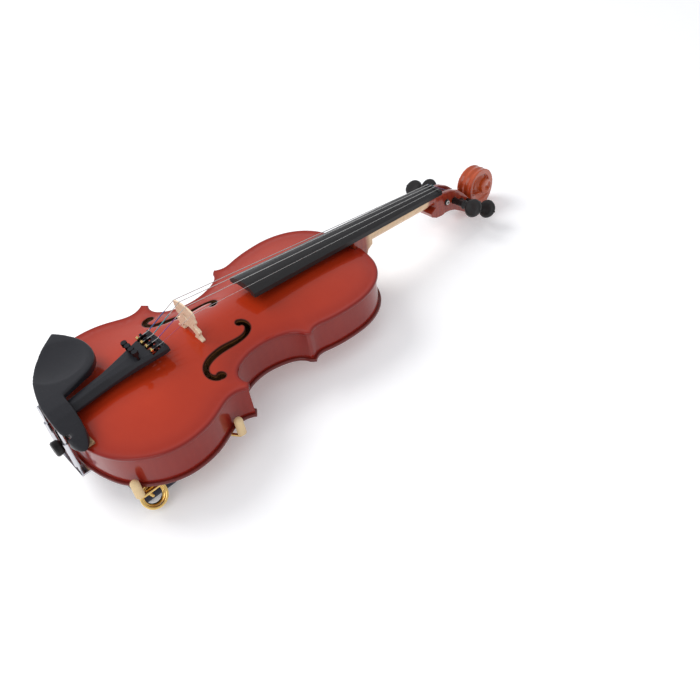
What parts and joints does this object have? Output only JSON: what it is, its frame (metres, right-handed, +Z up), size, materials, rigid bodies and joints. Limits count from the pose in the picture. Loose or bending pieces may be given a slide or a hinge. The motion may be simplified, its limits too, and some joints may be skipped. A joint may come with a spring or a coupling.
{
  "type": "violin",
  "caption": "Full-size violin with arched plates, f-holes, scroll, turning pegs, a tailpiece with built-in fine tuners, and a clamped chin rest and shoulder rest.",
  "frame": {"origin": "centre of the bounding box's bottom: the plane on which the violin lies, touched by its shoulder rest and its scroll", "axes": "+X from the tail towards the scroll, +Y towards the bass (G string) side, +Z up, away from the surface it lies on"},
  "size_m": [0.6004, 0.2116, 0.1145],
  "materials": {
    "spruce_varnish": "glossy orange-red varnish over spruce",
    "maple_varnish": "glossy red-brown varnish over maple",
    "inner_spruce": "bare spruce",
    "neck_maple": "bare maple neck with a varnished head",
    "bridge_maple": "bare flecked maple",
    "ebony": "satin ebony",
    "black_plastic": "satin black",
    "steel_string": "wound steel",
    "chrome": "polished",
    "blackened_steel": "satin",
    "brass": "polished",
    "rubber": "beige rubber tube",
    "velvet": "dark blue velvet",
    "cork": "cork sheet",
    "nylon": "black nylon",
    "frame_plastic": "satin black"
  },
  "bodies": {
    "violin": {"top_plate": "spruce_varnish", "back_plate": "maple_varnish", "rib_lower_bass": "maple_varnish", "rib_waist_bass": "maple_varnish", "rib_upper_bass": "maple_varnish", "rib_lower_treble": "maple_varnish", "rib_waist_treble": "maple_varnish", "rib_upper_treble": "maple_varnish", "neck_block": "inner_spruce", "end_block": "inner_spruce", "corner_blocks": "inner_spruce", "linings": "inner_spruce", "bass_bar": "inner_spruce", "sound_post": "inner_spruce", "fingerboard": "ebony", "string_g": "steel_string", "string_d": "steel_string", "string_a": "steel_string", "string_e": "steel_string", "bridge": "bridge_maple", "nut": "ebony", "saddle": "ebony", "end_button": "ebony", "tailgut": "nylon", "tailpiece": "black_plastic", "tuner_pin": "chrome", "neck_scroll": "neck_maple", "chinrest_pads": "cork", "chinrest_plate": "black_plastic", "chinrest_posts": "chrome", "rest_bar": "frame_plastic", "rest_pad": "velvet"},
    "peg_g": {"peg_g": "ebony"},
    "peg_d": {"peg_d": "ebony"},
    "peg_a": {"peg_a": "ebony"},
    "peg_e": {"peg_e": "ebony"},
    "tuner_stem_g": {"tuner_stem_g": "chrome"},
    "tuner_knob_g": {"tuner_knob_g": "chrome"},
    "tuner_lever_g": {"tuner_lever_g": "blackened_steel"},
    "tuner_stem_d": {"tuner_stem_d": "chrome"},
    "tuner_knob_d": {"tuner_knob_d": "chrome"},
    "tuner_lever_d": {"tuner_lever_d": "blackened_steel"},
    "tuner_stem_a": {"tuner_stem_a": "chrome"},
    "tuner_knob_a": {"tuner_knob_a": "chrome"},
    "tuner_lever_a": {"tuner_lever_a": "blackened_steel"},
    "tuner_stem_e": {"tuner_stem_e": "chrome"},
    "tuner_knob_e": {"tuner_knob_e": "chrome"},
    "tuner_lever_e": {"tuner_lever_e": "blackened_steel"},
    "clamp_barrel_bass": {"chinrest_barrel_bass": "chrome"},
    "clamp_barrel_treble": {"chinrest_barrel_treble": "chrome"},
    "clamp_foot": {"chinrest_foot": "chrome", "chinrest_foot_cork": "cork"},
    "rest_end_bass": {"rest_hoop_bass": "brass", "rest_fork_bass": "brass", "rest_sleeves_bass": "rubber"},
    "rest_end_treble": {"rest_hoop_treble": "brass", "rest_fork_treble": "brass", "rest_sleeves_treble": "rubber"}
  },
  "joints": [
    {"name": "peg_g_turn", "type": "hinge", "parent": "violin", "child": "peg_g", "pos_m": [0.21133, 0.027, 0.04236], "axis": [0, 1, 0], "continuous": true},
    {"name": "peg_d_turn", "type": "hinge", "parent": "violin", "child": "peg_d", "pos_m": [0.23698, 0.027, 0.0302], "axis": [0, 1, 0], "continuous": true},
    {"name": "peg_a_turn", "type": "hinge", "parent": "violin", "child": "peg_a", "pos_m": [0.24883, -0.027, 0.02335], "axis": [0, -1, 0], "continuous": true},
    {"name": "peg_e_turn", "type": "hinge", "parent": "violin", "child": "peg_e", "pos_m": [0.22443, -0.027, 0.03768], "axis": [0, -1, 0], "continuous": true},
    {"name": "tuner_g_stem", "type": "slide", "parent": "violin", "child": "tuner_stem_g", "axis": [0.0936, 0, -0.9956], "range_m": [0, 0.0045]},
    {"name": "tuner_g_knob", "type": "hinge", "parent": "tuner_stem_g", "child": "tuner_knob_g", "pos_m": [-0.19815, 0.00975, 0.09595], "axis": [0.0936, 0, -0.9956], "range_deg": [0, 2700.1]},
    {"name": "tuner_g_lever", "type": "hinge", "parent": "violin", "child": "tuner_lever_g", "pos_m": [-0.17967, 0.0126, 0.09166], "axis": [0, -1, 0], "range_deg": [0, 15.51], "deforming": ["string_g"]},
    {"name": "tuner_d_stem", "type": "slide", "parent": "violin", "child": "tuner_stem_d", "axis": [0.0936, 0, -0.9956], "range_m": [0, 0.0045]},
    {"name": "tuner_d_knob", "type": "hinge", "parent": "tuner_stem_d", "child": "tuner_knob_d", "pos_m": [-0.19815, 0.00325, 0.09595], "axis": [0.0936, 0, -0.9956], "range_deg": [0, 2700.1]},
    {"name": "tuner_d_lever", "type": "hinge", "parent": "violin", "child": "tuner_lever_d", "pos_m": [-0.17967, 0.0042, 0.09166], "axis": [0, -1, 0], "range_deg": [0, 15.51], "deforming": ["string_d"]},
    {"name": "tuner_a_stem", "type": "slide", "parent": "violin", "child": "tuner_stem_a", "axis": [0.0936, 0, -0.9956], "range_m": [0, 0.0045]},
    {"name": "tuner_a_knob", "type": "hinge", "parent": "tuner_stem_a", "child": "tuner_knob_a", "pos_m": [-0.19815, -0.00325, 0.09595], "axis": [0.0936, 0, -0.9956], "range_deg": [0, 2700.1]},
    {"name": "tuner_a_lever", "type": "hinge", "parent": "violin", "child": "tuner_lever_a", "pos_m": [-0.17967, -0.0042, 0.09166], "axis": [0, -1, 0], "range_deg": [0, 15.51], "deforming": ["string_a"]},
    {"name": "tuner_e_stem", "type": "slide", "parent": "violin", "child": "tuner_stem_e", "axis": [0.0936, 0, -0.9956], "range_m": [0, 0.0045]},
    {"name": "tuner_e_knob", "type": "hinge", "parent": "tuner_stem_e", "child": "tuner_knob_e", "pos_m": [-0.19815, -0.00975, 0.09595], "axis": [0.0936, 0, -0.9956], "range_deg": [0, 2700.1]},
    {"name": "tuner_e_lever", "type": "hinge", "parent": "violin", "child": "tuner_lever_e", "pos_m": [-0.17967, -0.0126, 0.09166], "axis": [0, -1, 0], "range_deg": [0, 15.51], "deforming": ["string_e"]},
    {"name": "clamp_bass_turn", "type": "hinge", "parent": "violin", "child": "clamp_barrel_bass", "pos_m": [-0.29086, 0.019, 0.03884], "axis": [0.0214, 0, 0.9998], "range_deg": [0, 1800.1]},
    {"name": "clamp_treble_turn", "type": "hinge", "parent": "violin", "child": "clamp_barrel_treble", "pos_m": [-0.29086, -0.019, 0.03884], "axis": [0.0214, 0, 0.9998], "range_deg": [0, 1800.1]},
    {"name": "clamp_foot_drop", "type": "slide", "parent": "violin", "child": "clamp_foot", "axis": [-0.0214, 0, -0.9998], "range_m": [0, 0.004]},
    {"name": "rest_bass_slide", "type": "slide", "parent": "violin", "child": "rest_end_bass", "axis": [0, 1, 0], "range_m": [0, 0.012]},
    {"name": "rest_treble_slide", "type": "slide", "parent": "violin", "child": "rest_end_treble", "axis": [0, -1, 0], "range_m": [0, 0.012]}
  ],
  "couplings": [
    {"joint": "tuner_g_knob", "follows": "tuner_g_stem", "rad_per_m": 10472},
    {"joint": "tuner_g_lever", "follows": "tuner_g_stem", "rad_per_m": 60.117},
    {"joint": "tuner_d_knob", "follows": "tuner_d_stem", "rad_per_m": 10472},
    {"joint": "tuner_d_lever", "follows": "tuner_d_stem", "rad_per_m": 60.117},
    {"joint": "tuner_a_knob", "follows": "tuner_a_stem", "rad_per_m": 10472},
    {"joint": "tuner_a_lever", "follows": "tuner_a_stem", "rad_per_m": 60.117},
    {"joint": "tuner_e_knob", "follows": "tuner_e_stem", "rad_per_m": 10472},
    {"joint": "tuner_e_lever", "follows": "tuner_e_stem", "rad_per_m": 60.117},
    {"joint": "clamp_bass_turn", "follows": "clamp_foot_drop", "rad_per_m": 7854},
    {"joint": "clamp_treble_turn", "follows": "clamp_foot_drop", "rad_per_m": 7854}
  ]
}
